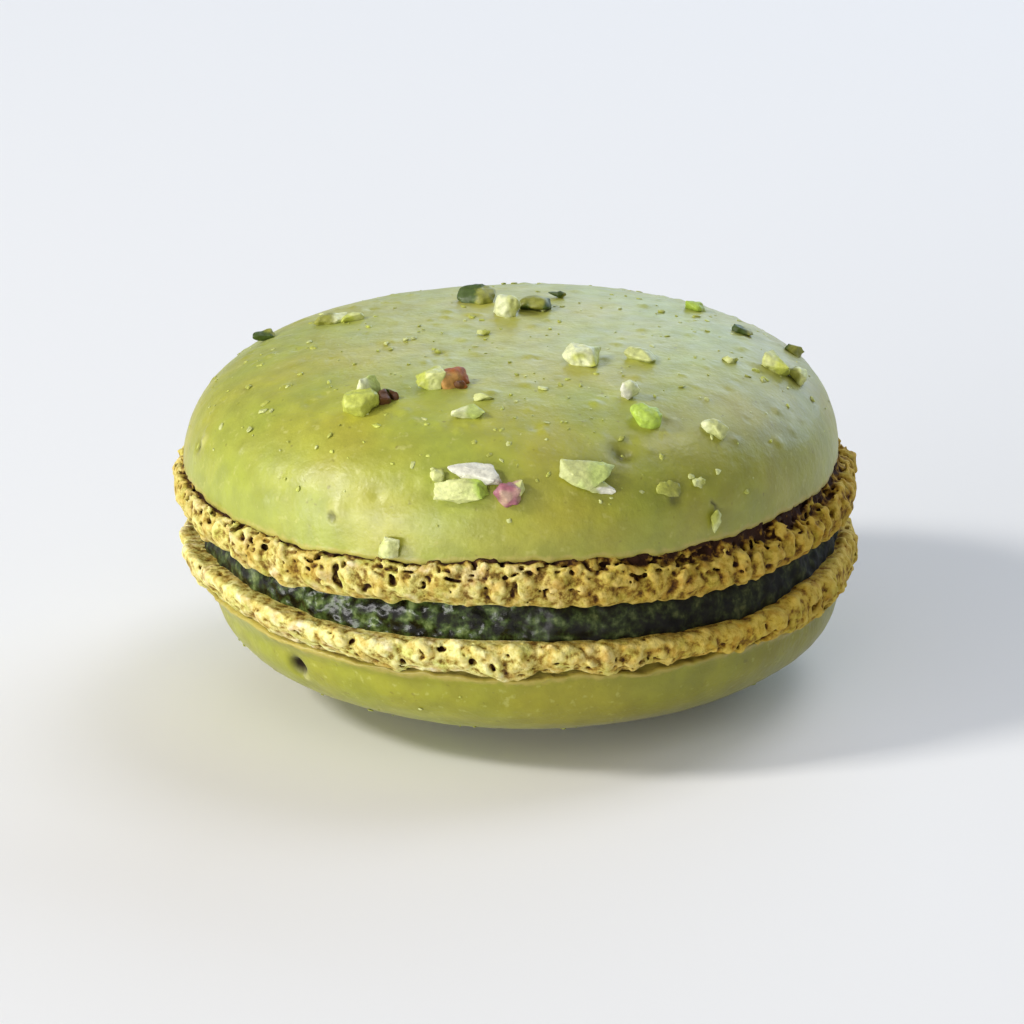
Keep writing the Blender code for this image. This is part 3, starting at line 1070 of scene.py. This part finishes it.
def build_crumbs(material):
    """Fine crumbs of nut and almond on both domes."""
    rng = random.Random(72)
    tones = (SKIN_GREEN, SKIN_GREEN, SKIN_GREEN, YELLOW_GREEN, GREY_GREEN, PALE)
    parts = []
    for shell in (TOP, BOTTOM):
        for _ in range(shell.crumbs):
            angle = rng.uniform(0, FULL)
            turn = math.acos(rng.uniform(0, 1) ** 0.8)
            size = 0.12 + 0.34 * rng.uniform(0, 1) ** 2.5
            if shell.up < 0 and turn > RESTING_TURN:
                continue
            sizes = (size * rng.uniform(1.0, 1.9), size, size * rng.uniform(0.35, 0.6))
            points, faces = chunk_mesh(sizes, rng, 0)
            spin = rng.uniform(0, FULL)
            points = lay_on_dome(shell, points, angle, turn, spin, -0.02)
            if shell.up < 0:
                points[:, 2] *= -1
                faces = [face[::-1] for face in faces]
            colours = np.tile(np.array(rng.choice(tones)), (len(points), 1))
            parts.append((points, faces, colours))
    points, faces, tones = join(parts)
    return make_piece("fine_crumbs", points, faces, material, tones)


# Materials

class Look:
    """A material whose textures are laid out in millimetres."""

    def __init__(self, name, sockets):
        self.material = bpy.data.materials.new(name)
        self.material.use_nodes = True
        self.tree = self.material.node_tree
        self.surface = self.tree.nodes["Principled BSDF"]
        for key, value in sockets.items():
            self.surface.inputs[key].default_value = value
        place = self.add("TexCoord").outputs["Object"]
        scaled = self.add("Mapping", {"Vector": place, "Scale": (1 / MM,) * 3})
        self.place = scaled.outputs["Vector"]

    def add(self, kind, inputs=None, **settings):
        node = self.tree.nodes.new("ShaderNode" + kind)
        for key, value in settings.items():
            setattr(node, key, value)
        for key, value in (inputs or {}).items():
            if isinstance(value, bpy.types.NodeSocket):
                self.tree.links.new(value, node.inputs[key])
            else:
                node.inputs[key].default_value = value
        return node

    def link(self, key, output):
        self.tree.links.new(output, self.surface.inputs[key])

    def noise(self, size, detail, roughness=0.5):
        sockets = {"Vector": self.place, "Scale": 1 / size, "Detail": detail,
                   "Roughness": roughness}
        return self.add("TexNoise", sockets).outputs["Fac"]

    def attribute(self, name, output="Fac"):
        return self.add("Attribute", attribute_name=name).outputs[output]

    def maths(self, operation, first, second):
        return self.add("Math", {0: first, 1: second}, operation=operation).outputs[0]

    def ramp(self, value, stops):
        """Colours or greys along a value."""
        node = self.add("ValToRGB", {"Fac": value})
        elements = node.color_ramp.elements
        while len(elements) < len(stops):
            elements.new(0.5)
        for element, (position, colour) in zip(elements, stops):
            element.position = position
            element.color = (*colour, 1) if isinstance(colour, tuple) else (colour,) * 3 + (1,)
        return node.outputs["Color"]

    def patches(self, size, detail, low, high, most, least=0.0):
        """Noise turned into patches, with these two values outside and inside them."""
        return self.ramp(self.noise(size, detail), [(low, least), (high, most)])

    def tint(self, share, colour, by):
        return self.mix(share, colour, by, "MULTIPLY")

    def mix(self, share, first, second, how="MIX"):
        node = self.add("Mix", data_type="RGBA", blend_type=how)
        for index, value in ((0, share), (6, first), (7, second)):
            if isinstance(value, bpy.types.NodeSocket):
                self.tree.links.new(value, node.inputs[index])
            elif isinstance(value, tuple):
                node.inputs[index].default_value = (*value, 1)
            else:
                node.inputs[index].default_value = value
        return node.outputs[2]

    def bump(self, height, depth):
        sockets = {"Height": height, "Distance": depth * MM}
        self.link("Normal", self.add("Bump", sockets).outputs["Normal"])


def skin_material(name, gloss, green, yellow, rim_colour):
    look = Look(name, {"Specular IOR Level": gloss, "Sheen Weight": 0.1, "Sheen Roughness": 0.4})
    colour = look.mix(look.patches(7.0, 2, 0.36, 0.66, 0.9), green, yellow)
    colour = look.tint(1.0, colour, look.patches(1.6, 3, 0.35, 0.65, 1.08, least=0.88))
    specks = look.patches(0.55, 2, 0.62, 0.74, 0.4)
    # Pale specks, and pale spots with painted highlights on bumps.
    light = look.maths("MAXIMUM", specks, look.attribute("light"))
    colour = look.mix(light, colour, (0.56, 0.56, 0.18))
    colour = look.mix(look.patches(0.5, 1, 0.71, 0.80, 0.6), colour, (0.20, 0.18, 0.02))
    grainy = look.maths("MULTIPLY", look.maths("SUBTRACT", look.noise(0.6, 3), 0.5), 1.6)
    rim = look.maths("ADD", look.attribute("rim"), grainy)
    colour = look.mix(look.ramp(rim, [(0.30, 0.0), (1.0, 0.8)]), colour, rim_colour)
    # Painted shade near the rim on the side away from the key light, with browner baking.
    colour = look.tint(look.attribute("toast_and_shade"), colour, (0.80, 0.76, 0.55))
    # Painted shade: near black inside dents and the hole.
    colour = look.mix(look.attribute("dent_shade"), colour, (0.02, 0.012, 0.003))
    look.link("Base Color", colour)
    dull = look.patches(1.1, 3, 0.3, 0.7, 0.50, least=0.39)
    look.link("Roughness", look.maths("MAXIMUM", dull, look.attribute("dent_shade")))
    grain = look.maths("ADD", look.noise(0.35, 2), look.noise(1.3, 2))
    look.bump(grain, 0.035)
    return look.material


def foot_material(name, crest, middle, shaded_tan, pit_shade):
    look = Look(name, {"Specular IOR Level": 0.25, "Roughness": 0.85})
    uneven = look.maths("SUBTRACT", look.noise(0.42, 5, 0.65), 0.5)
    uneven = look.maths("MULTIPLY", uneven, 0.7)
    # Painted shade: the crumb turns tan, brown and near black towards hollows and pits.
    hollow_shade = look.maths("ADD", look.attribute("hollow_shade"), uneven)
    colour = look.ramp(hollow_shade, [(0.34, crest), (0.47, middle), (0.57, shaded_tan),
                                (0.68, pit_shade)])
    # Browner baked patches, together with painted shade that grows towards the side away from the
    # key light.
    toast_and_shade = look.attribute("toast_and_shade")
    baked_and_shaded = look.maths("MAXIMUM", look.patches(2.4, 2, 0.46, 0.66, 0.6), toast_and_shade)
    colour = look.tint(baked_and_shaded, colour, (0.67, 0.49, 0.16))
    scorched = look.patches(0.8, 3, 0.48, 0.64, 0.7)
    colour = look.tint(scorched, colour, (0.76, 0.58, 0.32))
    green = look.patches(1.3, 2, 0.52, 0.68, 0.6)
    colour = look.tint(green, colour, (0.78, 0.90, 0.55))
    pale = look.patches(1.7, 2, 0.50, 0.66, 0.7)
    # Fewer pale patches where the painted shade is strong.
    pale = look.maths("MULTIPLY", pale, look.maths("SUBTRACT", 1.0, toast_and_shade))
    colour = look.tint(pale, colour, (0.99, 0.88, 1.6))
    look.link("Base Color", colour)
    look.bump(look.noise(0.3, 3, 0.6), 0.12)
    return look.material


def cream_material():
    look = Look("dark_cream", {"Specular IOR Level": 0.3})
    wet_and_lit = look.attribute("wet_and_lit")
    colour = look.ramp(look.noise(0.9, 4, 0.6),
                       [(0.38, (0.004, 0.0035, 0.001)), (0.47, (0.015, 0.019, 0.004)),
                        (0.57, (0.050, 0.080, 0.018)), (0.70, (0.20, 0.26, 0.09))])
    # Painted shade: the dry side, away from the key light, is darkened.
    colour = look.mix(wet_and_lit, look.tint(1.0, colour, (0.30, 0.22, 0.16)), colour)
    look.link("Base Color", colour)
    look.link("Roughness", look.maths("SUBTRACT", 0.88, look.maths("MULTIPLY", wet_and_lit, 0.7)))
    look.bump(look.noise(0.3, 3), 0.03)
    return look.material


def nut_material(name):
    look = Look(name, {"Specular IOR Level": 0.5})
    tone = look.attribute("tone", "Color")
    grain = look.ramp(look.noise(0.35, 3, 0.6), [(0.3, 0.72), (0.7, 1.12)])
    look.link("Base Color", look.tint(1.0, tone, grain))
    look.link("Roughness", look.patches(0.5, 2, 0.3, 0.7, 0.58, least=0.38))
    look.bump(look.noise(0.25, 2), 0.05)
    return look.material


# Studio

VIEW_ELEVATION = math.radians(19.0)
VIEW_ROLL = math.radians(0.6)
VIEW_DISTANCE = 0.4
VIEW_WIDTH = 69.8 * MM  # of the field at the macaron's middle
SENSOR = 36.0
FLOOR_WIDTH = 3.0
AIM = Vector((-0.24, 0.06, 11.32)) * MM


def add_camera():
    data = bpy.data.cameras.new("camera")
    data.sensor_width = SENSOR
    data.lens = SENSOR * VIEW_DISTANCE / VIEW_WIDTH
    data.clip_start = 0.01
    camera = add_object("camera", data)
    back = Vector((0, -math.cos(VIEW_ELEVATION), math.sin(VIEW_ELEVATION)))
    turned = Matrix.Rotation(math.pi / 2 - VIEW_ELEVATION, 4, "X")
    rolled = Matrix.Rotation(-VIEW_ROLL, 4, back)
    camera.matrix_world = Matrix.Translation(AIM + back * VIEW_DISTANCE) @ rolled @ turned
    bpy.context.scene.camera = camera


def add_panel(name, azimuth, elevation, distance, size, radiance, colour):
    """A soft light panel that faces the macaron from this direction, in degrees."""
    data = bpy.data.lights.new(name, "AREA")
    data.shape = "RECTANGLE"
    data.size, data.size_y = size
    data.energy = radiance * math.pi * size[0] * size[1]
    data.color = colour
    panel = add_object(name, data)
    turn, rise = math.radians(azimuth), math.radians(elevation)
    level = math.cos(rise)
    away = Vector((level * math.cos(turn), level * math.sin(turn), math.sin(rise)))
    panel.location = AIM + away * distance
    panel.rotation_euler = away.to_track_quat("Z", "Y").to_euler()
    panel.visible_camera = False


def add_floor():
    mesh = bpy.data.meshes.new("floor")
    half = FLOOR_WIDTH / 2
    corners = [(-half, -half, 0), (half, -half, 0), (half, half, 0), (-half, half, 0)]
    mesh.from_pydata(corners, [], [(0, 1, 2, 3)])
    floor = add_object("floor", mesh)
    look = Look("pale_floor", {"Base Color": (0.85, 0.85, 0.85, 1), "Roughness": 0.9})
    mesh.materials.append(look.material)


def add_studio():
    scene = bpy.context.scene
    scene.view_settings.view_transform = "Standard"
    world = bpy.data.worlds.new("studio")
    world.use_nodes = True
    background = world.node_tree.nodes["Background"]
    background.inputs["Color"].default_value = (1.0, 0.98, 0.95, 1)
    background.inputs["Strength"].default_value = 0.22
    scene.world = world
    add_panel("key", 195, 38, 0.8, (0.14, 0.14), 60.0, (1.0, 0.97, 0.92))
    add_panel("fill", 222, 7, 0.9, (0.9, 0.18), 12.5, (1.0, 0.98, 0.98))
    add_panel("front", 272, 48, 0.9, (0.5, 0.5), 0.8, (1.0, 0.98, 0.95))
    add_panel("back", 58, 22, 0.9, (1.2, 0.5), 2.9, (0.60, 0.76, 1.0))
    add_panel("top", 40, 58, 0.9, (0.4, 0.35), 3.9, (0.96, 0.96, 1.0))
    add_floor()


def main():
    add_camera()
    top_skin = skin_material("top_skin", 0.8, (0.34, 0.385, 0.040), (0.405, 0.385, 0.034),
                             (0.50, 0.43, 0.10))
    bottom_skin = skin_material("bottom_skin", 0.5, (0.29, 0.31, 0.022), (0.325, 0.305, 0.019),
                                (0.48, 0.39, 0.09))
    top_crumb = foot_material("top_crumb", (0.84, 0.79, 0.33), (0.62, 0.56, 0.15),
                              (0.27, 0.18, 0.03), (0.04, 0.014, 0.003))
    bottom_crumb = foot_material("bottom_crumb", (0.90, 0.90, 0.44), (0.74, 0.70, 0.23),
                                 (0.34, 0.24, 0.04), (0.05, 0.018, 0.004))
    nut = nut_material("pistachio")
    made = (
        (build_dome(TOP, top_skin), "shell_top", "shell_skin"),
        (build_foot(TOP, top_crumb), "shell_top", "foot_crumb"),
        (build_cream(cream_material()), "filling", "cream"),
        (build_dome(BOTTOM, bottom_skin), "shell_bottom", "shell_skin"),
        (build_foot(BOTTOM, bottom_crumb), "shell_bottom", "foot_crumb"),
        (build_chunks(TOP, nut), None, "nut"),
        (build_crumbs(nut), None, "nut"),
    )
    for piece, node, slot in made:
        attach(piece, "root")
        if node:
            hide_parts(node)
    add_studio()


main()
